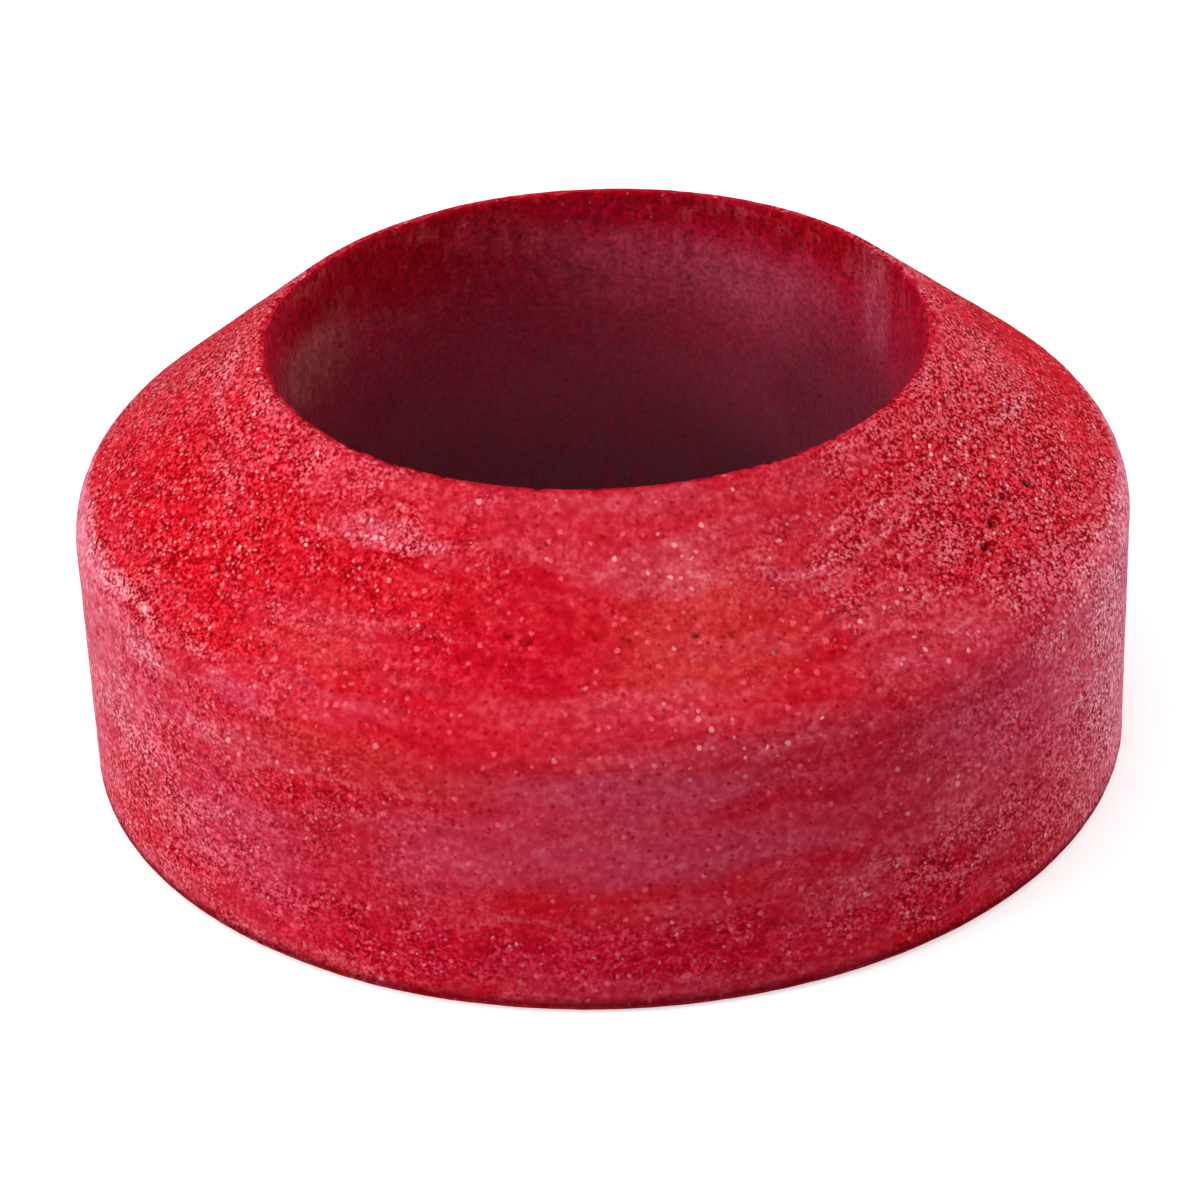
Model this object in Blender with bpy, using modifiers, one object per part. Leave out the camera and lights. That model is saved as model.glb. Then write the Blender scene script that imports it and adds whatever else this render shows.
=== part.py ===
"""Tapered sponge rubber gasket that seals a close-coupled cistern to its pan.

It is one moulded ring, turned from a single closed section. Going round that
section: a narrow lip at the mouth of the bore, a straight taper that wedges into
the pan's inlet, a rounded shoulder, an upright wall, a flat seat that presses on
the underside of the cistern, and a straight bore for the flush valve's shank.

Metres, +Z up. The origin is the centre of the flat seat, on the axis of the bore.
"""

import math

import bmesh
import bpy
from mathutils import Vector

MM = 0.001

# Driving dimensions
OUTER_DIAMETER = 88.9 * MM
BORE_DIAMETER = 54.4 * MM
HEIGHT = 37.5 * MM
# Where the taper's line would meet the wall's line, if the shoulder were sharp
SHOULDER_HEIGHT = 24.3 * MM
LIP_WIDTH = 0.9 * MM

# Corner radii, named for the edge that each one rounds
LIP_BORE_RADIUS = 0.3 * MM
LIP_TAPER_RADIUS = 0.6 * MM
SHOULDER_RADIUS = 5.1 * MM
SEAT_WALL_RADIUS = 0.8 * MM
SEAT_BORE_RADIUS = 0.5 * MM

# Fineness of the mesh
TURN_STEPS = 120
ARC_STEP = math.radians(18)
SHOULDER_ARC_STEP = math.radians(4.5)
MERGE_DISTANCE = 0.00001

NODE_NAME = "sponge_gasket"
COLLECTION_NAME = "tank_to_bowl_gasket"
MOULDED_RED = (0.56, 0.018, 0.038, 1.0)
DRY_SPONGE_ROUGHNESS = 0.82


def section_corners():
    """The section's sharp corners as (distance from the axis, height, radius, arc step).

    They run down the outside, inwards under the seat, up the bore and out over the lip.
    """
    outer_radius = OUTER_DIAMETER / 2
    bore_radius = BORE_DIAMETER / 2
    return [
        (bore_radius + LIP_WIDTH, HEIGHT, LIP_TAPER_RADIUS, ARC_STEP),
        (outer_radius, SHOULDER_HEIGHT, SHOULDER_RADIUS, SHOULDER_ARC_STEP),
        (outer_radius, 0.0, SEAT_WALL_RADIUS, ARC_STEP),
        (bore_radius, 0.0, SEAT_BORE_RADIUS, ARC_STEP),
        (bore_radius, HEIGHT, LIP_BORE_RADIUS, ARC_STEP),
    ]


def corner_arc(before, corner, after, radius, arc_step):
    """Points of the arc of this radius that rounds a corner and meets both of its lines square on."""
    to_before = (before - corner).normalized()
    to_after = (after - corner).normalized()
    half_angle = to_before.angle(to_after) / 2
    reach = radius / math.tan(half_angle)
    centre = corner + (to_before + to_after).normalized() * radius / math.sin(half_angle)
    start = corner + to_before * reach - centre
    end = corner + to_after * reach - centre
    sweep = math.pi - 2 * half_angle
    steps = max(2, math.ceil(sweep / arc_step))
    points = []
    for step in range(steps + 1):
        share = step / steps
        # Weights that carry a point round a circle at an even rate from start to end
        from_start = math.sin((1 - share) * sweep) / math.sin(sweep)
        from_end = math.sin(share * sweep) / math.sin(sweep)
        points.append(centre + start * from_start + end * from_end)
    return points


def rounded_section(corners):
    """The closed section with every corner rounded, as points in the XZ plane."""
    places = [Vector((distance, 0.0, height)) for distance, height, _, _ in corners]
    points = []
    for index, (_, _, radius, arc_step) in enumerate(corners):
        before = places[index - 1]
        after = places[(index + 1) % len(places)]
        points += corner_arc(before, places[index], after, radius, arc_step)
    return points


def sponge_material():
    """Red open-textured sponge rubber, dry and matt."""
    material = bpy.data.materials.new("red_sponge_rubber")
    material.use_nodes = True
    shader = material.node_tree.nodes["Principled BSDF"]
    shader.inputs["Base Color"].default_value = MOULDED_RED
    shader.inputs["Roughness"].default_value = DRY_SPONGE_ROUGHNESS
    shader.inputs["Metallic"].default_value = 0.0
    material.diffuse_color = MOULDED_RED
    return material


def section_mesh(points):
    """A mesh that holds the section as one closed loop of edges."""
    loop = bmesh.new()
    corners = [loop.verts.new(point) for point in points]
    for index, corner in enumerate(corners):
        loop.edges.new((corner, corners[(index + 1) % len(corners)]))
    mesh = bpy.data.meshes.new(NODE_NAME)
    loop.to_mesh(mesh)
    loop.free()
    return mesh


def make_gasket(collection):
    """The gasket: its section turned once round the Z axis."""
    gasket = bpy.data.objects.new(NODE_NAME, section_mesh(rounded_section(section_corners())))
    collection.objects.link(gasket)
    gasket.data.materials.append(sponge_material())

    turn = gasket.modifiers.new("turn_about_bore", "SCREW")
    turn.axis = "Z"
    turn.angle = math.tau
    turn.steps = TURN_STEPS
    turn.render_steps = TURN_STEPS
    turn.use_smooth_shade = True
    turn.use_merge_vertices = True
    turn.merge_threshold = MERGE_DISTANCE
    # The small roundings would otherwise tilt the shading of the wide faces beside them
    gasket.modifiers.new("shade_by_face_area", "WEIGHTED_NORMAL")
    return gasket


def clear_scene():
    for leftover in list(bpy.data.objects):
        bpy.data.objects.remove(leftover, do_unlink=True)


def main():
    clear_scene()
    collection = bpy.data.collections.new(COLLECTION_NAME)
    bpy.context.scene.collection.children.link(collection)
    make_gasket(collection)


main()
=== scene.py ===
import itertools
import math

import bpy
import numpy as np
from mathutils import Matrix, Vector


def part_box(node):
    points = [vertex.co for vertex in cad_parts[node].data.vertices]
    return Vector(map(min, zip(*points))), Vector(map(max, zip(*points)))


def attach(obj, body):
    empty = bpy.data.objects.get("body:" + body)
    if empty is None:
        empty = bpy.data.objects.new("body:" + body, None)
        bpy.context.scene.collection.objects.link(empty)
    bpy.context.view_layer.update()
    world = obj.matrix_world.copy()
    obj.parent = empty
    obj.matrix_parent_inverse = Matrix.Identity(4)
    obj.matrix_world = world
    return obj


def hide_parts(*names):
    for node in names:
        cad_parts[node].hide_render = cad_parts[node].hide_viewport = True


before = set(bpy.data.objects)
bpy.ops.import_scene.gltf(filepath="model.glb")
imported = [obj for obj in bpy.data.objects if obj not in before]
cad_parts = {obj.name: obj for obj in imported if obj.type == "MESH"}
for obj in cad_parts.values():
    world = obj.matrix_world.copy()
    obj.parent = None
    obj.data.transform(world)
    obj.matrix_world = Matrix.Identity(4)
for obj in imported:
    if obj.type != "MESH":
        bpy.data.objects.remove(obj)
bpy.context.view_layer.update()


# The gasket
# One ring of red sponge rubber, blown and cured in a two-part mould round a steel core pin.
# The outside keeps the mould's grainy, slightly open skin under a pale dust of talc and bloom, with painted
# sheen down its left and right sides, and the bore keeps the pin's smoother, darker skin. It stands on its
# seat, fixed to nothing.

MM = 0.001
LOWEST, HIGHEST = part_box("sponge_gasket")
OUTER_RADIUS = (HIGHEST.x - LOWEST.x) / 2 / MM
HEIGHT = HIGHEST.z / MM
BORE_RADIUS = 27.2
SHOULDER_HEIGHT = 24.3
LIP_WIDTH = 0.9

# Columns round the ring, which puts them 0.44 mm apart on the wall
COLUMNS = 640
# How much the bore's rows gather towards the mouth, as a power
GATHERED = 1.35

# The section's sharp corners, down the outside, in under the seat, up the bore and over the lip:
# distance from the axis, height, rounding radius, rows in the rounding, rows in the stretch after it
CORNERS = [
    (BORE_RADIUS + LIP_WIDTH, HEIGHT, 0.6, 4, 44),
    (OUTER_RADIUS, SHOULDER_HEIGHT, 5.1, 12, 44),
    (OUTER_RADIUS, 0.0, 0.8, 5, 7),
    (BORE_RADIUS, 0.0, 0.5, 3, 28),
    (BORE_RADIUS, HEIGHT, 0.3, 3, 1),
]


def rounded_section(fine=1):
    """The closed section as rows of (distance from the axis, height), in millimetres.

    Each corner is an arc that meets both of its lines square on. Between two arcs the rows are
    evenly spaced, but in the bore they gather towards the mouth, where they show.
    """
    places = np.array([corner[:2] for corner in CORNERS])
    arcs = []
    for index, (_, _, radius, rows, _) in enumerate(CORNERS):
        here = places[index]
        ahead = places[(index + 1) % len(places)] - here
        behind = places[index - 1] - here
        ahead = ahead / np.linalg.norm(ahead)
        behind = behind / np.linalg.norm(behind)
        half = math.acos(float(ahead @ behind)) / 2
        middle = (ahead + behind) / np.linalg.norm(ahead + behind)
        centre = here + middle * radius / math.sin(half)
        start = here + behind * radius / math.tan(half) - centre
        end = here + ahead * radius / math.tan(half) - centre
        sweep = math.pi - 2 * half
        share = np.linspace(0, 1, rows * fine)[:, None]
        turned = (np.sin((1 - share) * sweep) * start + np.sin(share * sweep) * end) / math.sin(sweep)
        arcs.append(centre + turned)
    stretches = []
    for index, arc in enumerate(arcs):
        rows = CORNERS[index][4] * fine
        share = np.arange(1, rows + 1)[:, None] / (rows + 1)
        if places[index][0] == places[(index + 1) % len(places)][0] == BORE_RADIUS:
            share = 1 - (1 - share) ** GATHERED
        onward = arcs[(index + 1) % len(arcs)][0]
        stretches += [arc, arc[-1] + (onward - arc[-1]) * share]
    return np.concatenate(stretches)


def lengths_along(section):
    """How far along the closed section each row lies, from 0 at the first, and the whole way round."""
    steps = np.linalg.norm(np.roll(section, -1, axis=0) - section, axis=1)
    return np.concatenate([[0], np.cumsum(steps)[:-1]]), steps.sum()


def lattice_noise(points, size, seed):
    """Smooth random values from -1 to 1 at points in millimetres.

    Space is cut into cubes of the given size. Each corner holds one random number, looked up in a table
    by its three places mixed together, and a point takes the blend of the eight corners round it,
    weighted by 3t^2 - 2t^3 along each axis.
    """
    scaled = points / size
    corner = np.floor(scaled).astype(np.int64)
    share = scaled - corner
    share = share * share * (3 - 2 * share)
    table = np.random.default_rng(seed).uniform(-1, 1, 8192)
    total = np.zeros(points.shape[:-1])
    for offset in itertools.product((0, 1), repeat=3):
        at = corner + np.array(offset)
        row = (at[..., 0] * 73856093 ^ at[..., 1] * 19349663 ^ at[..., 2] * 83492791) % 8192
        total += table[row] * np.prod(np.where(offset, share, 1 - share), axis=-1)
    return total


def ease(values, low, high):
    """0 below low, 1 above high and 3t^2 - 2t^3 between them."""
    share = np.clip((values - low) / (high - low), 0, 1)
    return share * share * (3 - 2 * share)


# Burst bubbles in the skin: degrees round from the front, millimetres down from the lip, radius
BURSTS = [
    (-12.0, 12.1, 0.32),
    (-9.2, 12.4, 0.34),
    (-4.5, 11.2, 0.24),
    (2.5, 12.4, 0.28),
    (10.2, 12.5, 0.34),
    (14.4, 12.9, 0.30),
    (18.8, 14.9, 0.26),
    (6.5, 14.2, 0.24),
    (55.0, 12.4, 0.44),
    (60.4, 11.5, 0.40),
    (66.0, 12.3, 0.48),
    (51.2, 13.6, 0.42),
    (57.0, 10.9, 0.36),
    (-53.0, 13.4, 0.38),
    (-58.2, 12.6, 0.26),
    (44.0, 16.5, 0.26),
]
# More of them on the far side, drawn at random
SCATTERED_BURSTS = 70
BURST_DEPTH = 0.30
# The radius from which a burst is as deep as that
DEEP_BURST = 0.42
# How much of the way the grid is drawn in towards a burst, and from how many millimetres away
DRAWN_IN = 0.62
DRAWN_FROM = 1.3

fine_section = rounded_section(fine=8)
fine_along, section_length = lengths_along(fine_section)
row_along, coarse_length = lengths_along(rounded_section())
row_along = row_along * section_length / coarse_length


def section_at(along):
    """The section's distance from the axis, height, and outward normal, this far along it.

    The normal is the step from just behind to just ahead, turned a quarter turn: (-rise, run) / size.
    """
    step = 0.05
    here, ahead, behind = [
        [np.interp(at, fine_along, fine_section[:, axis], period=section_length) for axis in (0, 1)]
        for at in (along, along + step, along - step)
    ]
    run = ahead[0] - behind[0]
    rise = ahead[1] - behind[1]
    size = np.hypot(run, rise)
    return here[0], here[1], -rise / size, run / size


draw = np.random.default_rng(41)
scattered = np.stack([
    draw.uniform(75, 285, SCATTERED_BURSTS),
    draw.uniform(3, 40, SCATTERED_BURSTS),
    draw.uniform(0.2, 0.34, SCATTERED_BURSTS),
], axis=1)
bursts = np.concatenate([np.array(BURSTS), scattered])

turn, along = np.meshgrid(np.arange(COLUMNS) * math.tau / COLUMNS, row_along, indexing="ij")
pitting = np.zeros_like(turn)
for degrees_round, down, radius in bursts:
    # The grid is drawn in towards each burst, so that its rim has rows of its own
    ring_radius = section_at(np.array(down))[0]
    aside = (turn - math.radians(degrees_round) + math.pi) % math.tau - math.pi
    aside = aside * ring_radius
    below = along - down
    pull = DRAWN_IN * np.exp(-(aside * aside + below * below) / DRAWN_FROM ** 2)
    turn = turn - pull * aside / ring_radius
    along = along - pull * below
    away = np.hypot(aside, below) * (1 - pull)
    pit = 1 - ease(away, radius * 0.35, radius * 1.15)
    pitting = np.maximum(pitting, pit * min(1, (radius / DEEP_BURST) ** 2))

distance, height, out_normal, up_normal = section_at(along)
around = np.stack([np.sin(turn), -np.cos(turn)], axis=-1)
normal = np.concatenate([around * out_normal[..., None], up_normal[..., None]], axis=-1)
points = np.concatenate([around * distance[..., None], height[..., None]], axis=-1)

inside_bore = ease(-out_normal, 0.3, 0.9)
at_top = ease(height, HEIGHT - 0.9, HEIGHT - 0.1)
near_mouth = at_top * ease(-distance, -BORE_RADIUS - 1.0, -BORE_RADIUS - 0.2)
under_seat = ease(-up_normal, 0.5, 0.95)
# A painted contact shadow: a darker line round the foot of the wall
FOOT_OF_WALL = 44.3
foot_shadow = np.exp(-((along - FOOT_OF_WALL) / 0.4) ** 2)
grainy = (1 - 0.7 * inside_bore) * (1 - 0.5 * under_seat)

# The sponge swells unevenly as it cures, its skin is lumpy and beaded, and the torn edge of the mouth
# is nibbled. Each is given as its width and its greatest depth, in millimetres. All of it only sinks
# in, so that the skin stays inside the solid
SWELL = (9.0, 0.07)
LUMPS = (1.6, 0.03)
BEADS = (0.8, 0.05)
NIBBLES = (0.5, 0.20)
swell = 0.5 + 0.5 * lattice_noise(points, SWELL[0], 11)
lumps = 0.5 + 0.5 * lattice_noise(points, LUMPS[0], 12)
beads = 0.5 + 0.5 * lattice_noise(points, BEADS[0], 13)
nibbles = lattice_noise(points, NIBBLES[0], 14) + 0.6 * lattice_noise(points, 1.7, 15)
nibbles = ease(nibbles, 0.0, 0.9)
sunk = SWELL[1] * swell + (LUMPS[1] * lumps + BEADS[1] * beads) * grainy
sunk += NIBBLES[1] * nibbles * near_mouth
sunk += BURST_DEPTH * pitting
points = points - normal * sunk[..., None]

# Where dust, colour and wear lie, with painted shade and painted sheen among them, kept on the mesh as one
# value a point
degrees = np.degrees((turn + math.pi) % math.tau - math.pi)
wander = lattice_noise(points, 7.0, 21) + 0.5 * lattice_noise(points, 3.0, 22)
drift = lattice_noise(points, 8.0, 23) + 0.5 * lattice_noise(points, 3.5, 24)

# Wiping and the mould's parting agent leave faint streaks round the ring, many times as long as they
# are high and a little off level. The coordinates that draw them are squeezed by that much round it
STREAK_STRETCH = 9
swept = np.concatenate([around * OUTER_RADIUS / STREAK_STRETCH, (along + 1.6 * wander)[..., None]], axis=-1)
streaks = lattice_noise(swept, 0.9, 31) + 0.7 * lattice_noise(swept, 2.3, 32)


def patches(marks):
    """Soft ovals, each (degrees round, millimetres down, half width, half height, strength), sizes in mm.

    Each fades as e to the minus squared distance, eased so that its edge is firmer, and noise leads the
    edge astray. Minus millimetres down lie inside the bore. The far side carries the same marks half a
    turn on.
    """
    total = np.zeros_like(turn)
    for middle, down, half_wide, half_high, strength in marks:
        aside = ((2 * (degrees - middle) + 180) % 360 - 180) / 2 * math.radians(1) * distance + 1.8 * wander
        below = (along - down + section_length / 2) % section_length - section_length / 2 + 1.2 * drift
        total += strength * ease(np.exp(-(aside / half_wide) ** 2 - (below / half_high) ** 2), 0.04, 0.85)
    return total


# The edge of a dried splash of talc and water, which wanders round the taper: degrees round from the
# front, millimetres down from the lip, and how much more unbroken it is there
TIDE_LINE = [
    (-180, 7.0, 0.0), (-150, 9.0, 0.0), (-120, 6.0, 0.0), (-90, 5.0, 0.0), (-60, 4.6, 0.0), (-50, 5.2, 0.0),
    (-40, 6.5, 0.0), (-28, 6.5, 0.0), (-20, 5.2, 0.0), (-10, 6.2, -0.8), (0, 7.0, -1.6), (10, 7.6, -1.6),
    (18, 8.8, -0.8), (25, 9.2, 1.2), (35, 8.9, 1.2), (45, 8.0, 1.0), (55, 6.6, 1.0), (63, 5.6, 1.0),
    (75, 8.0, 0.8), (88, 11.0, 0.0), (110, 8.0, 0.0), (140, 5.0, 0.0), (160, 8.0, 0.0), (180, 7.0, 0.0),
]
tide_degrees, tide_down, tide_unbroken = np.array(TIDE_LINE).T
from_tide = along - np.interp(degrees, tide_degrees, tide_down) + 0.5 * wander
unbroken = np.interp(degrees, tide_degrees, tide_unbroken)
# The outside ends where the seat's edge starts, about 44 mm down
on_outside = ease(-along, -46, -43.5)
tide_dust = np.exp(-(from_tide / 0.42) ** 2) * ease(drift + unbroken, -0.6, 0.5)
above_tide = ease(-from_tide, -0.3, 0.5)

# The shoulder starts to round over about 19 mm down
on_wall = ease(along, 19.0, 20.5)
# The wall's left and right sides as the camera sees them, which take painted sheen
sheen_sides = ease(np.abs((degrees + 3 + 90) % 180 - 90), 38, 82)

# Talc dust along and above the tide line and in the streaks, and painted sheen down the two sides of the
# wall, where grazing light pales it
dust_and_sheen = 0.02 + 0.15 * streaks + 0.06 * wander + (0.5 * tide_dust + 0.12 * above_tide) * on_outside
dust_and_sheen += 0.45 * sheen_sides * on_wall * on_outside - 0.3 * near_mouth
dust_and_sheen += patches([
    # On the taper
    (-75, 5, 4, 2, -0.2),
    (-70, 14, 8, 1.6, -0.2),
    (-70, 15.5, 12, 2.5, -0.35),
    (-68, 15.5, 10, 2.5, -0.2),
    (-66, 13, 16, 4, -0.2),
    (-55, 5, 4, 1.4, -0.2),
    (-55, 11, 5, 1.6, -0.15),
    (-55, 11, 4, 2, -0.25),
    (-33, 5.8, 5, 1.4, 0.35),
    (-25, 9.5, 5, 2, -0.25),
    (-25, 11, 4, 1.5, -0.15),
    (-25, 14, 4, 2, 0.15),
    (-15, 8, 4, 1.2, -0.15),
    (-15, 14, 4, 2, -0.15),
    (-8, 13, 9, 3, -0.2),
    (2, 8, 8, 1.4, 0.2),
    (5, 6.5, 7, 2.4, 0.25),
    (5, 8.5, 5, 1.2, 0.2),
    (18, 9.4, 5, 0.8, -0.25),
    (20, 6, 8, 3, 0.12),
    (28, 10, 5, 1.2, 0.3),
    (35, 2, 4, 1.4, 0.2),
    (35, 14.5, 4, 1.6, 0.35),
    (36, 12.5, 8, 0.7, 0.3),
    (46, 11, 4, 1.6, 0.15),
    (55, 8, 4, 1.6, -0.2),
    (56, 14.5, 5, 2.5, -0.45),
    (60, 8, 8, 2, -0.2),
    (62, 5.6, 6, 1.2, 0.25),
    (62, 6, 9, 3, -0.3),
    # On the shoulder
    (-76, 19.5, 4, 1, 0.2),
    (-69, 19.6, 11, 0.9, 0.45),
    (-50, 17, 6, 1.6, -0.2),
    (-50, 18.4, 2, 1.6, 0.25),
    (-45, 22, 3, 1.2, 0.15),
    (-18, 22, 9, 2.5, -0.3),
    (5, 17.6, 9, 1.2, 0.15),
    (9, 21.8, 12, 1.2, 0.28),
    (20, 21, 7, 1.6, 0.2),
    (25, 22, 4, 1.2, 0.15),
    (34, 19, 5, 1.5, 0.2),
    (36, 17.5, 8, 1.2, 0.2),
    (45, 18, 6, 2, 0.25),
    # On the wall
    (-58, 33, 12, 8, 0.2),
    (-42, 26, 6, 2.4, 0.25),
    (-35, 25, 5, 1.5, 0.2),
    (-30, 43.5, 10, 1.2, 0.15),
    (-25, 40, 5, 2, -0.2),
    (0, 41, 24, 3, -0.2),
    (25, 36, 5, 1.6, 0.35),
    (38, 33, 7, 5, 0.3),
    (60, 24, 10, 5, 0.3),
    # In the bore
    (-116, -9, 9, 5, 0.6),
])

# Bloom, the pale haze that comes out of the rubber as it ages, and with it painted sheen: both are
# strongest down the wall's left and right sides as the camera sees them, where grazing light pales it
bloom_and_sheen = 0.9 * ease(np.abs((degrees + 90) % 180 - 90), 50, 80) * on_wall * on_outside
bloom_and_sheen += patches([
    # On the shoulder
    (-67, 20.5, 9, 2, -0.2),
    (-56, 22.5, 6, 1.6, 0.3),
    (74, 20.5, 8, 1.6, -0.35),
    # On the wall
    (-75, 32, 5, 3, -0.15),
    (-74, 26, 8, 3, -0.2),
    (-74, 42, 9, 3, -0.3),
    (-72, 41, 12, 7, -0.2),
    (-70, 36, 8, 2.5, -0.25),
    (-65, 30, 7, 14, -0.1),
    (-57, 43.5, 8, 1.6, 0.15),
    (70, 26, 6, 3, 0.3),
    (70, 31, 7, 3, 0.25),
    (72, 25.5, 6, 2, 0.45),
    (73, 27, 6, 5, 0.35),
    (76, 29, 8, 9, 0.5),
])

# A thinner, mauve haze
veil = 0.10 * streaks + patches([
    # On the taper
    (-40, 14, 8, 1.6, 0.25),
    # On the shoulder
    (-40, 21.5, 4, 1, 0.5),
    (-40, 21.5, 5, 1.2, 0.3),
    (-30, 19.5, 6, 1.2, 0.3),
    # On the wall
    (-55, 26, 10, 3, 0.4),
    (-46, 29, 5, 1.2, 0.3),
    (-45, 32, 4, 2, 0.2),
    (-45, 36, 10, 6, 0.5),
    (-30, 32, 9, 7, 0.12),
    (-18, 33, 6, 4, 0.3),
    (-16, 28, 6, 2, 0.2),
    (-5, 28, 12, 1.5, 0.3),
    (2, 25, 14, 2.4, 0.7),
    (4, 31, 19, 2.8, 0.7),
    (8, 43.5, 16, 1.2, 0.3),
    (25, 28, 5, 2, 0.15),
    (42, 24, 14, 3.5, 0.4),
    (45, 27, 8, 6, 0.15),
    (52, 31, 14, 7, 0.4),
    (56, 30, 6, 4, 0.4),
    (65, 32, 5, 3, 0.2),
    # In the bore
    (-160, -4.5, 7, 3, 0.25),
    (-110, -8.5, 3, 3, 0.5),
    (117, -6, 3, 5, 0.7),
    (145, -9, 9, 5, 0.4),
    (150, -8, 8, 3, 0.25),
    (172, -9, 9, 4, 0.3),
    (180, -7, 6, 3, 0.25),
])

# Darker, cooler red. Some is the rubber's own tone and some is painted shade: on the wall's right front,
# along the foot of the wall and low in the bore on the right
deep_red_and_shade = patches([
    # On the shoulder
    (-60, 20.5, 10, 2.5, 0.35),
    (-48, 22, 8, 1.5, 0.3),
    (14, 20.5, 14, 1.6, 0.4),
    (50, 21, 8, 2.5, 0.35),
    (52, 22, 8, 1.5, 0.3),
    (55, 17, 5, 1.5, 0.5),
    # On the wall
    (-45, 43.5, 12, 1.2, 0.35),
    (-30, 32, 9, 7, 0.25),
    (8, 43.5, 16, 1.2, 0.25),
    (38, 30, 12, 10, 0.55),
    (50, 40, 10, 6, 0.4),
    # In the bore
    (128, -16, 10, 8, 0.5),
])

# Warmer red, where a rub has taken the haze off
scarlet = 0.16 * streaks + patches([
    # On the taper
    (-35, 15, 5, 3, 0.6),
    (10, 13.5, 9, 3.6, 0.9),
    (12, 8, 9, 3, 0.6),
    # On the shoulder
    (-30, 22.5, 7, 1.6, 0.5),
    # On the wall
    (-22, 25, 5, 1.4, 0.5),
    (-14, 24.8, 4, 1.2, 0.5),
])

# The pigment's own clean red, with nothing on it
vivid = patches([
    # On the taper
    (-72, 14, 6, 2, 0.3),
    (-70, 14, 8, 2, 0.4),
    (-60, 11, 16, 6, 0.8),
    (-52, 16.5, 8, 2, 0.5),
    (-16, 12, 12, 4, 0.5),
    (55, 14, 5, 2.5, 0.5),
    (55, 14, 4, 2, 0.2),
    (65, 8, 6, 3, 0.4),
])

# Cooler, deeper red: round the mouth, just above the tide line on the right, and in the streaks
on_far_side = ease(np.abs(degrees), 80, 110)
crimson = 0.20 * streaks + (0.3 + 0.5 * on_far_side) * near_mouth
crimson += 0.5 * np.exp(-((from_tide + 1.0) / 0.4) ** 2) * on_outside * ease(degrees, 10, 25)
crimson += patches([
    # On the taper
    (-60, 10, 14, 4, 0.4),
    (-12, 14, 10, 3, 0.8),
    (58, 13, 12, 4, 0.5),
    # On the wall
    (-30, 39, 12, 4, 0.6),
    (-5, 40, 24, 3.2, 0.9),
    (16, 27, 7, 5, 0.4),
    (22, 37, 18, 4, 0.4),
    (30, 27, 12, 3, 0.3),
    (50, 40, 12, 4, 0.3),
    # In the bore
    (-150, -5, 11, 4, 0.8),
    (-135, -1.5, 12, 1.4, 0.4),
    (-125, -3, 10, 2, 0.9),
    (125, -1.8, 6, 1.8, 0.4),
    (140, -2.4, 12, 1.8, 0.6),
    (180, -2.6, 30, 1.6, 0.4),
    (180, -1, 6, 1, 0.15),
])

# How open and gritty the skin is: most on the flanks, where nothing has rubbed it, and less on the wall
flanks = ease(np.abs((degrees - 3 + 90) % 180 - 90), 10, 80)
limbs = ease(np.abs((degrees + 90) % 180 - 90), 58, 80)
rough = (0.20 + 0.86 * flanks) * (1 - 0.3 * on_wall) * (1 - 0.5 * limbs * on_wall) + 0.08 * wander
rough += 0.25 * tide_dust
rough += patches([
    # On the taper
    (-80, 12, 10, 8, -0.25),
    (-70, 6.5, 8, 2.5, 0.35),
    (-28, 9, 12, 5, 0.1),
    (5, 2, 14, 3, -0.12),
    (28, 9, 7, 2, 0.1),
    (40, 9, 10, 6, 0.15),
    (46, 5.5, 5, 3, -0.3),
    (66, 10, 14, 9, 1.15),
    # On the shoulder
    (-66, 19, 14, 1.2, 0.5),
    (-40, 19, 7, 1.2, -0.2),
    (5, 17.5, 24, 3, -0.1),
    (40, 18, 8, 3, -0.2),
    # On the wall
    (-70, 26, 9, 6, -0.25),
    (-52, 36, 12, 10, 0.15),
    (-30, 32, 12, 8, 0.15),
    (-10, 40, 24, 4, 0.3),
    (34, 39, 14, 5, 0.3),
    (66, 34, 9, 10, 0.4),
    (76, 23.5, 8, 3, 0.4),
])


def closed_grid(name, points):
    """A smooth mesh from a grid of points that joins up with itself both ways, faces turned outwards."""
    columns, count = points.shape[:2]
    column, row = np.meshgrid(np.arange(columns), np.arange(count), indexing="ij")
    after = (column + 1) % columns
    below = (row + 1) % count
    corners = [column * count + row, column * count + below, after * count + below, after * count + row]
    quads = np.stack(corners, axis=-1).reshape(-1, 4)
    mesh = bpy.data.meshes.new(name)
    mesh.vertices.add(columns * count)
    mesh.vertices.foreach_set("co", (points * MM).astype(np.float32).ravel())
    mesh.loops.add(quads.size)
    mesh.loops.foreach_set("vertex_index", quads.astype(np.int32).ravel())
    mesh.polygons.add(len(quads))
    mesh.polygons.foreach_set("loop_start", np.arange(0, quads.size, 4, dtype=np.int32))
    mesh.polygons.foreach_set("use_smooth", np.ones(len(quads), bool))
    mesh.update(calc_edges=True)
    return mesh


skin_mesh = closed_grid("sponge_gasket_skin", points)
swept_place = skin_mesh.attributes.new("swept", "FLOAT_VECTOR", "POINT")
swept_place.data.foreach_set("vector", swept.astype(np.float32).ravel())
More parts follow.
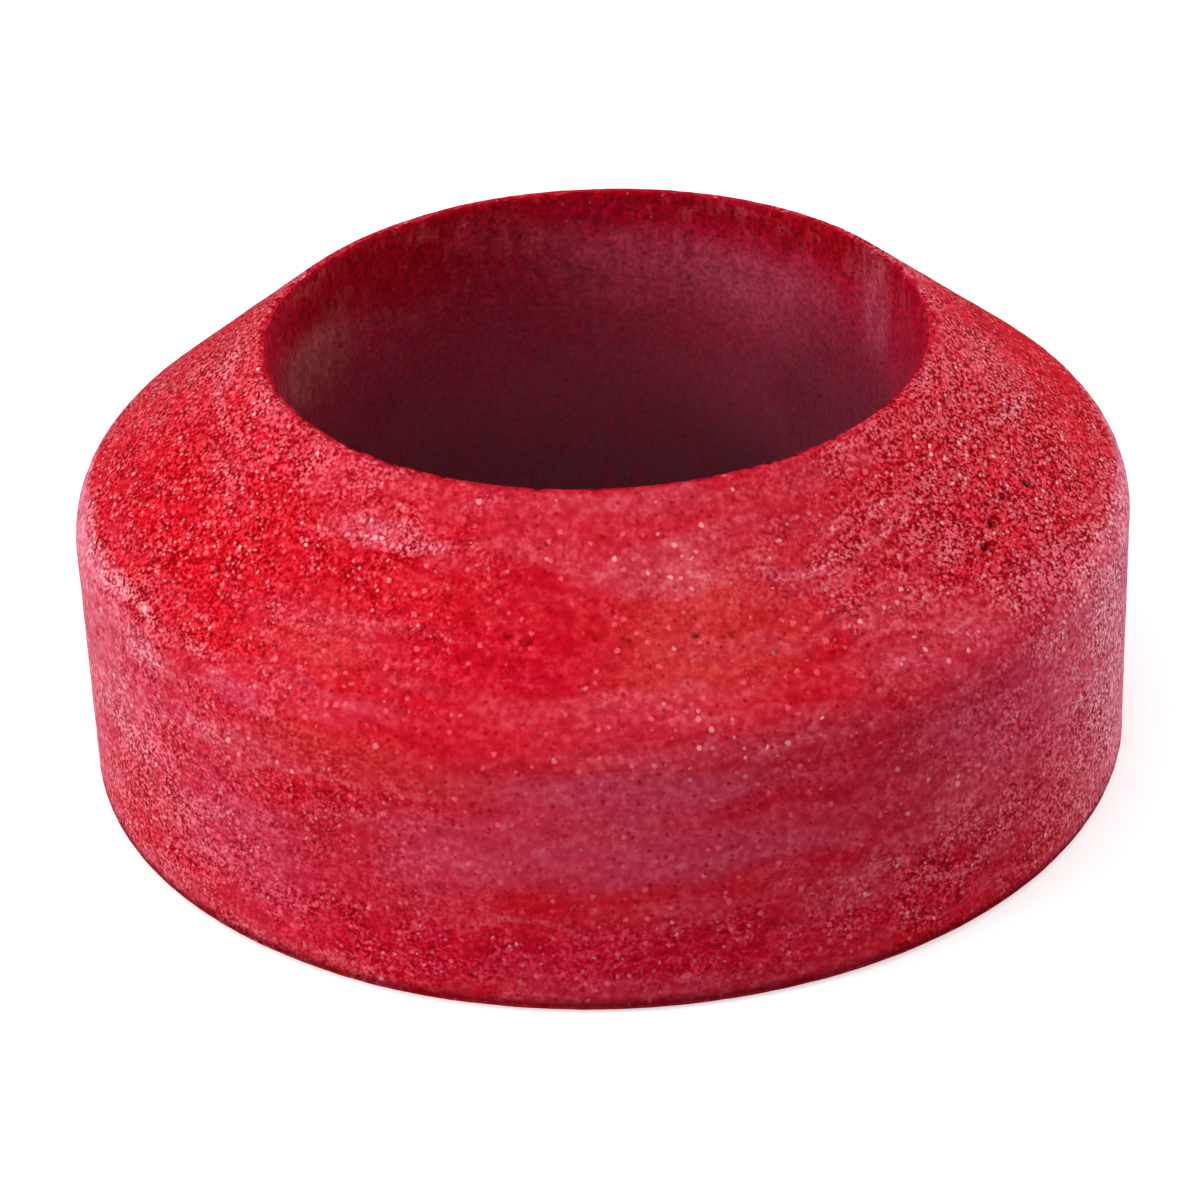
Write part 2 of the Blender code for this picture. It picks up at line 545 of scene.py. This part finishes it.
# Each field, and the most that it reaches
FIELDS = {
    # The deep red carries painted shade, and dust and bloom carry painted sheen
    "deep_red_and_shade": (deep_red_and_shade, 1.0),
    "dust_and_sheen": (dust_and_sheen, 1.4),
    "bloom_and_sheen": (bloom_and_sheen, 1.0),
    "veil": (veil, 1.0),
    "scarlet": (scarlet, 1.0),
    "crimson": (crimson, 1.0),
    "rough": (rough, 2.0),
    "vivid": (vivid, 1.0),
    # Painted shade in the burst pits, and a painted contact shadow round the foot of the wall
    "pit_and_foot_shade": (np.maximum(pitting, 0.75 * foot_shadow), 1.0),
}
for name, (values, most) in FIELDS.items():
    kept = skin_mesh.attributes.new(name, "FLOAT", "POINT")
    kept.data.foreach_set("value", np.clip(values, 0, most).astype(np.float32).ravel())
skin = bpy.data.objects.new("sponge_gasket_skin", skin_mesh)
bpy.context.scene.collection.objects.link(skin)


def linear(code):
    """A colour written as an sRGB hex value, as linear red, green, blue and alpha."""
    parts = [int(code[place:place + 2], 16) / 255 for place in (1, 3, 5)]
    return [part / 12.92 if part <= 0.04045 else ((part + 0.055) / 1.055) ** 2.4 for part in parts] + [1.0]


def add(tree, kind, sockets, **settings):
    """A new node of this kind, with its settings.

    sockets gives what goes into each input, by its name or number: a value, the output that feeds it,
    or a node, which stands for the first of its outputs in use.
    """
    made = tree.nodes.new(kind)
    for name, value in settings.items():
        setattr(made, name, value)
    for name, value in sockets.items():
        if isinstance(name, int):
            socket = made.inputs[name]
        else:
            socket = [socket for socket in made.inputs if socket.enabled and socket.name == name][0]
        if isinstance(value, bpy.types.Node):
            value = [output for output in value.outputs if output.enabled][0]
        if isinstance(value, bpy.types.NodeSocket):
            tree.links.new(value, socket)
        else:
            socket.default_value = value
    return made


# Moulded sponge rubber
# Pigmented natural rubber, blown with fine gas cells: dead matt, scattering light off thousands of
# tiny beads, deep red in its pores and pale pink on the beads' crests, where talc lies.
rubber = bpy.data.materials.new("moulded_red_sponge_rubber")
rubber.use_nodes = True
tree = rubber.node_tree
tree.nodes.clear()
place = add(tree, "ShaderNodeTexCoord", {}).outputs["Object"]
# From here on the patterns' coordinates are in millimetres. The grain is drawn out 1.7 times along a
# line that rises to the front at 30 degrees, so that it doesn't close up on the flanks, which slant away
DRAWN_OUT = 1.7
in_mm = add(
    tree, "ShaderNodeMapping",
    {"Vector": place, "Rotation": (math.radians(-30), 0, 0), "Scale": (MM, DRAWN_OUT * MM, MM)},
    vector_type="TEXTURE",
)

# The finest grain is under 0.1 mm, too fine to show, so it is drawn at about 0.3 mm. It is strong
# where the skin is open, and where it has been rubbed flat only broader, fainter clumps are left
FINE_GRAIN = 0.30
SOFT_GRAIN = 0.60
CLUMP = 1.6
CALM_AND_GRITTY = 2.8
STREAK = 0.8
fine = add(
    tree, "ShaderNodeTexNoise",
    {"Vector": in_mm, "Scale": 1 / FINE_GRAIN, "Detail": 1.6, "Roughness": 0.7},
)
soft = add(
    tree, "ShaderNodeTexNoise",
    {"Vector": in_mm, "Scale": 1 / SOFT_GRAIN, "Detail": 1.0, "Roughness": 0.5},
)
clumps = add(
    tree, "ShaderNodeTexNoise",
    {"Vector": in_mm, "Scale": 1 / CLUMP, "Detail": 2.0, "Roughness": 0.6},
)
# How open the skin is here, with calmer and grittier clouds in it
openness = add(tree, "ShaderNodeAttribute", {}, attribute_name="rough").outputs["Fac"]
uneven = add(tree, "ShaderNodeTexNoise", {"Vector": in_mm, "Scale": 1 / CALM_AND_GRITTY, "Detail": 1.0})
uneven = add(
    tree, "ShaderNodeMapRange",
    {"Value": uneven, "From Min": 0.34, "From Max": 0.66, "To Min": 0.5, "To Max": 1.45},
)
openness = add(tree, "ShaderNodeMath", {0: openness, 1: uneven}, operation="MULTIPLY")
grit = add(
    tree, "ShaderNodeMapRange",
    {"Value": openness, "From Min": 0.15, "From Max": 2.2, "To Min": 0.02, "To Max": 4.9},
)
fine = add(tree, "ShaderNodeMath", {0: fine, 1: 0.5}, operation="SUBTRACT")
soft = add(tree, "ShaderNodeMapRange", {"Value": soft, "To Min": -0.28, "To Max": 0.28})
clumps = add(tree, "ShaderNodeMapRange", {"Value": clumps, "To Min": -0.15, "To Max": 0.15})
# Fine streaks run round the ring, in the squeezed coordinates that the mesh carries
round_ring = add(tree, "ShaderNodeAttribute", {}, attribute_name="swept").outputs["Vector"]
lines = add(
    tree, "ShaderNodeTexNoise",
    {"Vector": round_ring, "Scale": 1 / STREAK, "Detail": 2.0, "Roughness": 0.6},
)
lines = add(tree, "ShaderNodeMapRange", {"Value": lines, "To Min": -0.19, "To Max": 0.19})
broad = add(tree, "ShaderNodeMath", {0: soft, 1: clumps}, operation="ADD")
broad = add(tree, "ShaderNodeMath", {0: broad, 1: lines}, operation="ADD")
broad_share = add(tree, "ShaderNodeMapRange", {"Value": openness, "To Min": 0.68, "To Max": 1.05})
broad = add(tree, "ShaderNodeMath", {0: broad, 1: broad_share, 2: 0.5}, operation="MULTIPLY_ADD")
grain = add(tree, "ShaderNodeMath", {0: fine, 1: grit, 2: broad}, operation="MULTIPLY_ADD")

# Each finish lies over the ones before it, as far as its attribute says, and has a colour for the
# pores, one for the body and one for the crests. The first is the bare rubber, which lies everywhere
FINISHES = [
    ("bare", "#8E0008", "#CF1226", "#F04450"),
    ("scarlet", "#A81014", "#D43436", "#EC5E58"),
    ("crimson", "#88000A", "#CE0C2C", "#F04460"),
    ("vivid", "#8A0004", "#D00418", "#EE2E3C"),
    # The darker red also carries painted shade
    ("deep_red_and_shade", "#7A000E", "#B41832", "#D84A60"),
    ("veil", "#AE2C46", "#D0405E", "#E66C84"),
    # The last two also carry painted sheen down the wall's sides
    ("dust_and_sheen", "#B02036", "#DC546A", "#FF9CAA"),
    ("bloom_and_sheen", "#B84A62", "#E67C94", "#FFB6C6"),
]
# A finish takes best on the crests of the grain
on_crests = add(tree, "ShaderNodeMapRange", {"Value": grain, "To Min": 0.15, "To Max": 1.85})
colour = None
for attribute, pore, body, crest in FINISHES:
    finish = add(tree, "ShaderNodeValToRGB", {"Fac": grain})
    stops = finish.color_ramp.elements
    stops.new(0.5)
    for stop, position, code in zip(stops, (0.22, 0.5, 0.8), (pore, body, crest)):
        stop.position = position
        stop.color = linear(code)
    if colour is None:
        colour = finish
    else:
        share = add(tree, "ShaderNodeAttribute", {}, attribute_name=attribute).outputs["Fac"]
        share = add(tree, "ShaderNodeMath", {0: share, 1: on_crests}, operation="MULTIPLY")
        colour = add(
            tree, "ShaderNodeMix", {"Factor": share, "A": colour, "B": finish}, data_type="RGBA",
        )

# The dust field, with the painted sheen down the wall's sides in it
dust_and_sheen_here = add(tree, "ShaderNodeAttribute", {}, attribute_name="dust_and_sheen").outputs["Fac"]
# Open pores, the beads between them, flecks of talc and, in the last row, painted highlights: rare pale
# glints on the open skin.
# They are scattered one to a cell. In the real skin they are under 0.1 mm across, and they are drawn larger
# so that they show.
# Each row gives what makes them likelier, the cells' width, their least and greatest radius in millimetres,
# how lucky a cell has to be, how strongly they show, and their colour
SPOTS = [
    (openness, 0.70, 0.10, 0.19, 0.42, 0.66, "#98000C"),
    (openness, 0.80, 0.13, 0.24, 0.78, 0.80, "#FF5E70"),
    (openness, 0.46, 0.08, 0.165, 1.02, 0.95, "#480004"),
    (openness, 0.46, 0.07, 0.15, 1.04, 1.00, "#FF8490"),
    (dust_and_sheen_here, 0.85, 0.12, 0.22, 0.92, 1.00, "#FFA0A8"),
    (dust_and_sheen_here, 0.55, 0.12, 0.20, 1.12, 1.00, "#FFB0B6"),
    # Painted highlights: rare pale glints
    (openness, 1.10, 0.11, 0.18, 1.18, 1.00, "#FFB4BA"),
]
# Noise leads the cells' coordinates astray by up to a fifth of a millimetre, so that no spot is round
stray = add(tree, "ShaderNodeTexNoise", {"Vector": in_mm, "Scale": 1 / FINE_GRAIN, "Detail": 0.0})
stray = add(
    tree, "ShaderNodeVectorMath", {0: stray.outputs["Color"], 1: (0.22, 0.22, 0.22), 2: in_mm},
    operation="MULTIPLY_ADD",
)
for likely, pitch, least, most, odds, strength, code in SPOTS:
    cells = add(tree, "ShaderNodeTexVoronoi", {"Vector": stray, "Scale": 1 / pitch})
    lots = add(tree, "ShaderNodeSeparateColor", {"Color": cells.outputs["Color"]})
    luck = add(
        tree, "ShaderNodeMath", {0: likely, 1: 0.6, 2: lots.outputs["Red"]}, operation="MULTIPLY_ADD",
    )
    picked = add(
        tree, "ShaderNodeMapRange",
        {"Value": luck, "From Min": odds, "From Max": odds + 0.2, "To Max": strength},
    )
    radius = add(
        tree, "ShaderNodeMapRange",
        {"Value": lots.outputs["Green"], "To Min": least / pitch, "To Max": most / pitch},
    )
    inside = add(tree, "ShaderNodeMath", {0: radius, 1: cells.outputs["Distance"]}, operation="SUBTRACT")
    spot = add(
        tree, "ShaderNodeMapRange", {"Value": inside, "From Min": -0.06 / pitch, "From Max": 0.05 / pitch},
    )
    share = add(tree, "ShaderNodeMath", {0: spot, 1: picked}, operation="MULTIPLY")
    colour = add(
        tree, "ShaderNodeMix", {"Factor": share, "A": colour, "B": linear(code)}, data_type="RGBA",
    )

# Painted shade darkens the pits of the burst bubbles, and a painted contact shadow runs round the foot of
# the wall
painted_shade = add(tree, "ShaderNodeAttribute", {}, attribute_name="pit_and_foot_shade").outputs["Fac"]
colour = add(
    tree, "ShaderNodeMix", {"Factor": painted_shade, "A": colour, "B": linear("#3A0004")}, data_type="RGBA",
)

bump = add(tree, "ShaderNodeBump", {"Height": grain, "Strength": 0.6, "Distance": 0.00012})
shader = add(tree, "ShaderNodeBsdfPrincipled", {
    "Base Color": colour,
    "Roughness": 0.88,
    "Metallic": 0.0,
    "IOR": 1.5,
    "Specular IOR Level": 0.03,
    "Sheen Weight": 0.02,
    "Sheen Roughness": 0.30,
    "Sheen Tint": linear("#FFC0CE"),
    "Normal": bump,
})
add(tree, "ShaderNodeOutputMaterial", {"Surface": shader})
skin_mesh.materials.append(rubber)

# Sponge rubber cured against the core pin
# The same rubber with its cells closed and pressed flat by the hot pin: smoother, darker and less
# dusty, red near the mouth and turning to a dull maroon further in.
pin_skin = bpy.data.materials.new("pin_cured_sponge_rubber")
pin_skin.use_nodes = True
tree = pin_skin.node_tree
tree.nodes.clear()
place = add(tree, "ShaderNodeTexCoord", {}).outputs["Object"]
in_mm = add(tree, "ShaderNodeMapping", {"Vector": place, "Scale": (1000, 1000, 1000)})
above_seat = add(tree, "ShaderNodeSeparateXYZ", {"Vector": in_mm}).outputs["Z"]
CLOUD = 5.0
SMEAR = 1.2
SPECK = 0.45
clouds = add(
    tree, "ShaderNodeTexNoise",
    {"Vector": in_mm, "Scale": 1 / CLOUD, "Detail": 3.0, "Roughness": 0.6},
)
# Drawing the pin out left smears that are longer up the bore than they are wide
drawn_out = add(tree, "ShaderNodeMapping", {"Vector": place, "Scale": (1000, 1000, 480)})
smears = add(
    tree, "ShaderNodeTexNoise",
    {"Vector": drawn_out, "Scale": 1 / SMEAR, "Detail": 4.0, "Roughness": 0.65},
)
strayed = add(tree, "ShaderNodeMath", {0: clouds, 1: 7.0, 2: above_seat}, operation="MULTIPLY_ADD")
depth = add(tree, "ShaderNodeMapRange", {"Value": strayed, "From Min": HEIGHT + 4, "From Max": 0.0})
ramp = add(tree, "ShaderNodeValToRGB", {"Fac": depth})
stops = ramp.color_ramp.elements
stops.new(0.5)
stops.new(0.5)
# From the mouth to the seat
PIN_SKIN = [
    (0.05, "#AE0226"),
    (0.22, "#AE223F"),
    (0.50, "#B04C62"),
    (0.90, "#8A5A72"),
]
for stop, (position, code) in zip(stops, PIN_SKIN):
    stop.position = position
    stop.color = linear(code)
smeared = add(
    tree, "ShaderNodeMapRange",
    {"Value": smears, "From Min": 0.35, "From Max": 0.65, "To Max": 0.6},
)
colour = add(
    tree, "ShaderNodeMix", {"Factor": smeared, "A": ramp, "B": linear("#8A1026")}, data_type="RGBA",
)
# Stains: the attribute that carries each, how strongly it shows, and its colour. The smears decide
# where it takes, which leaves it ragged
STAINS = [
    ("crimson", 0.8, "#90020E"),
    ("veil", 0.75, "#B2465E"),
    ("dust_and_sheen", 0.8, "#A4524E"),
    # Painted shade, low in the bore on the right
    ("deep_red_and_shade", 0.7, "#5E2030"),
]
for attribute, strength, code in STAINS:
    share = add(tree, "ShaderNodeAttribute", {}, attribute_name=attribute).outputs["Fac"]
    ragged = add(tree, "ShaderNodeMath", {0: smears, 1: 0.6, 2: share}, operation="MULTIPLY_ADD")
    ragged = add(
        tree, "ShaderNodeMapRange",
        {"Value": ragged, "From Min": 0.36, "From Max": 1.15, "To Max": strength},
    )
    colour = add(
        tree, "ShaderNodeMix", {"Factor": ragged, "A": colour, "B": linear(code)}, data_type="RGBA",
    )
# The smears are lighter and darker too, and near the mouth so are fine specks in them
shade = add(
    tree, "ShaderNodeMapRange",
    {"Value": smears, "From Min": 0.3, "From Max": 0.7, "To Min": 0.72, "To Max": 1.28},
)
specks = add(
    tree, "ShaderNodeTexNoise", {"Vector": in_mm, "Scale": 1 / SPECK, "Detail": 2.0, "Roughness": 0.6},
)
specks = add(
    tree, "ShaderNodeMapRange",
    {"Value": specks, "From Min": 0.25, "From Max": 0.75, "To Min": -1.0, "To Max": 1.0},
)
contrast = add(tree, "ShaderNodeMapRange", {"Value": depth, "From Max": 0.5, "To Min": 0.6, "To Max": 0.17})
specks = add(tree, "ShaderNodeMath", {0: specks, 1: contrast, 2: 1.0}, operation="MULTIPLY_ADD")
shade = add(tree, "ShaderNodeMath", {0: shade, 1: specks}, operation="MULTIPLY")
colour = add(tree, "ShaderNodeVectorMath", {0: colour, "Scale": shade}, operation="SCALE")

# Cells that tore open, thickest near the mouth, and grains of talc between them: the cells' width,
# the spot's radius, how lucky a cell has to be, and its colour
PIN_SPOTS = [
    (0.7, 0.20, 0.80, "#3A0208"),
    (1.1, 0.16, 0.90, "#C8606E"),
]
likely = add(
    tree, "ShaderNodeMapRange",
    {"Value": above_seat, "From Min": HEIGHT - 5, "From Max": HEIGHT, "To Min": 0.0, "To Max": 0.5},
)
for pitch, radius, odds, code in PIN_SPOTS:
    cells = add(tree, "ShaderNodeTexVoronoi", {"Vector": in_mm, "Scale": 1 / pitch})
    lot = add(tree, "ShaderNodeSeparateColor", {"Color": cells.outputs["Color"]}).outputs["Red"]
    luck = add(tree, "ShaderNodeMath", {0: likely, 1: lot}, operation="ADD")
    picked = add(
        tree, "ShaderNodeMapRange",
        {"Value": luck, "From Min": odds, "From Max": odds + 0.3, "To Max": 0.8},
    )
    spot = add(
        tree, "ShaderNodeMapRange",
        {"Value": cells.outputs["Distance"], "From Min": radius / pitch, "From Max": 0.4 * radius / pitch},
    )
    share = add(tree, "ShaderNodeMath", {0: spot, 1: picked}, operation="MULTIPLY")
    colour = add(
        tree, "ShaderNodeMix", {"Factor": share, "A": colour, "B": linear(code)}, data_type="RGBA",
    )
shader = add(tree, "ShaderNodeBsdfPrincipled", {
    "Base Color": colour,
    "Roughness": 0.8,
    "Metallic": 0.0,
    "IOR": 1.5,
    "Specular IOR Level": 0.04,
})
add(tree, "ShaderNodeOutputMaterial", {"Surface": shader})
skin_mesh.materials.append(pin_skin)
skin_mesh.polygons.foreach_set("material_index", (inside_bore > 0.5).astype(np.int32).ravel())

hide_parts("sponge_gasket")
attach(skin, "root")


# Floor
# A plain white sheet that the ring stands on. The camera sees it close to white, with the ring's
# own soft shadow, while to the ring it is a dark grey, so that little light comes up the bore.


def seen_as_itself(tree):
    """1 where the camera sees this straight, mirrored or through glass, 0 where it only sheds light."""
    rays = add(tree, "ShaderNodeLightPath", {}).outputs
    seen = add(
        tree, "ShaderNodeMath", {0: rays["Is Camera Ray"], 1: rays["Is Glossy Ray"]}, operation="MAXIMUM",
    )
    return add(tree, "ShaderNodeMath", {0: seen, 1: rays["Is Transmission Ray"]}, operation="MAXIMUM")


floor_mesh = bpy.data.meshes.new("floor")
FLOOR_HALF = 3.0
# Just under the seat, so that the two don't lie in one plane
FLOOR_LEVEL = -0.00002
signs = [(-1, -1), (1, -1), (1, 1), (-1, 1)]
floor_corners = [(x * FLOOR_HALF, y * FLOOR_HALF, FLOOR_LEVEL) for x, y in signs]
floor_mesh.from_pydata(floor_corners, [], [(0, 1, 2, 3)])
floor = bpy.data.objects.new("floor", floor_mesh)
bpy.context.scene.collection.objects.link(floor)
sheet = bpy.data.materials.new("matt_white_sheet")
sheet.use_nodes = True
tree = sheet.node_tree
tree.nodes.clear()
seen = seen_as_itself(tree)
lit = add(tree, "ShaderNodeBsdfDiffuse", {"Color": linear("#F2F2F2")})
glow = add(tree, "ShaderNodeEmission", {"Color": linear("#FFFFFF"), "Strength": 0.50})
dull = add(tree, "ShaderNodeBsdfDiffuse", {"Color": linear("#5A5456")})
both = add(tree, "ShaderNodeAddShader", {0: lit, 1: glow})
choice = add(tree, "ShaderNodeMixShader", {0: seen, 1: dull, 2: both})
add(tree, "ShaderNodeOutputMaterial", {"Surface": choice})
floor_mesh.materials.append(sheet)


# Light
# Five wide soft lamps in an even pale room: strong ones low on the left and right, the left one the
# stronger, a fainter one behind on the right, one overhead, and the weakest in front.
world = bpy.data.worlds.new("pale_room")
bpy.context.scene.world = world
world.use_nodes = True
tree = world.node_tree
tree.nodes.clear()
seen = seen_as_itself(tree)
room = add(tree, "ShaderNodeBackground", {"Color": linear("#FFFFFF"), "Strength": 0.36})
backdrop = add(tree, "ShaderNodeBackground", {"Color": linear("#FFFFFF"), "Strength": 1.0})
choice = add(tree, "ShaderNodeMixShader", {0: seen, 1: room, 2: backdrop})
add(tree, "ShaderNodeOutputWorld", {"Surface": choice})

# Name, degrees round from the front, degrees up, metres away, width, and how bright it makes a
# white surface that faces it
LAMPS = [
    ("left_lamp", -68, 16, 0.8, 0.5, 0.74),
    ("right_lamp", 84, 6, 0.8, 0.5, 0.57),
    ("front_lamp", -10, 15, 0.9, 0.5, 0.14),
    ("back_lamp", 130, 8, 0.8, 0.5, 0.29),
    ("top_lamp", -60, 80, 0.8, 0.5, 0.26),
]
for name, degrees_round, degrees_up, away, wide, bright in LAMPS:
    round_angle = math.radians(degrees_round)
    up_angle = math.radians(degrees_up)
    towards = Vector((
        math.sin(round_angle) * math.cos(up_angle),
        -math.cos(round_angle) * math.cos(up_angle),
        math.sin(up_angle),
    ))
    lamp_data = bpy.data.lights.new(name, "AREA")
    lamp_data.shape = "DISK"
    lamp_data.size = wide
    lamp_data.energy = bright * (math.pi * away) ** 2
    lamp = bpy.data.objects.new(name, lamp_data)
    lamp.location = towards * away
    lamp.rotation_euler = towards.to_track_quat("Z", "Y").to_euler()
    lamp.visible_camera = False
    bpy.context.scene.collection.objects.link(lamp)


# Camera
# It looks down at 30 degrees through a long lens, held about 2 degrees off level, a little above
# the ring's middle.
ELEVATION = math.radians(30.23)
ROLL = math.radians(2.13)
CAMERA_DISTANCE = 358.8 * MM
ASIDE = -0.48 * MM
ABOVE = 9.97 * MM
SENSOR_WIDTH = 36.0
FOCAL_LENGTH = 123.16

back = Vector((0, -math.cos(ELEVATION), math.sin(ELEVATION)))
right = Vector((1, 0, 0))
up = back.cross(right)
camera_data = bpy.data.cameras.new("camera")
camera_data.sensor_width = SENSOR_WIDTH
camera_data.lens = FOCAL_LENGTH
camera_data.clip_start = 0.01
camera_data.clip_end = 100
camera = bpy.data.objects.new("camera", camera_data)
turned_right = right * math.cos(ROLL) - up * math.sin(ROLL)
turned_up = right * math.sin(ROLL) + up * math.cos(ROLL)
camera.matrix_world = Matrix.Translation(back * CAMERA_DISTANCE + right * ASIDE + up * ABOVE) @ Matrix(
    (turned_right, turned_up, back)
).transposed().to_4x4()
bpy.context.scene.collection.objects.link(camera)
bpy.context.scene.camera = camera
bpy.context.scene.view_settings.view_transform = "Standard"
